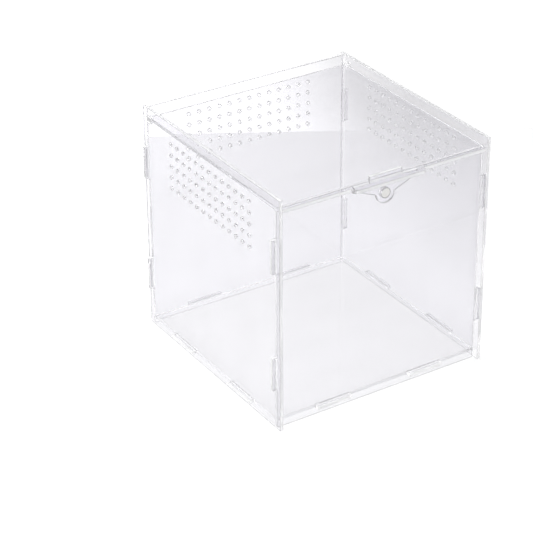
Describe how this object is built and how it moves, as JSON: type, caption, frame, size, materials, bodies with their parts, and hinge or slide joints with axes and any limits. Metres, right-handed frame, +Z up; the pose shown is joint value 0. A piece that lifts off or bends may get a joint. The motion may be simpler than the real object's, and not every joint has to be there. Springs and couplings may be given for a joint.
{
  "type": "terrarium",
  "caption": "Clear acrylic box terrarium of slotted sheets with a raised floor, rows of round vents and a flip lid held shut by a magnet latch.",
  "frame": {"origin": "on the ground, in the middle of the box's outline, tabs and lid tongue included", "axes": "+Z up, the front with the latch towards -Y, +X to the right seen from the front"},
  "size_m": [0.2, 0.205, 0.2],
  "materials": {
    "clear_acrylic": "clear acrylic sheet with polished faces and laser-cut edges",
    "nickel": "bright nickel plating on a round magnet"
  },
  "bodies": {
    "box": {"left_panel": "clear_acrylic", "right_panel": "clear_acrylic", "back_panel": "clear_acrylic", "front_panel": "clear_acrylic", "floor_panel": "clear_acrylic", "front_magnet": "nickel"},
    "lid": {"lid": "clear_acrylic", "latch_plate": "clear_acrylic", "latch_magnet": "nickel"}
  },
  "joints": [
    {"name": "lid_hinge", "type": "hinge", "parent": "box", "child": "lid", "pos_m": [0, 0.0927, 0.1905], "axis": [-1, 0, 0], "range_deg": [0, 101]}
  ]
}
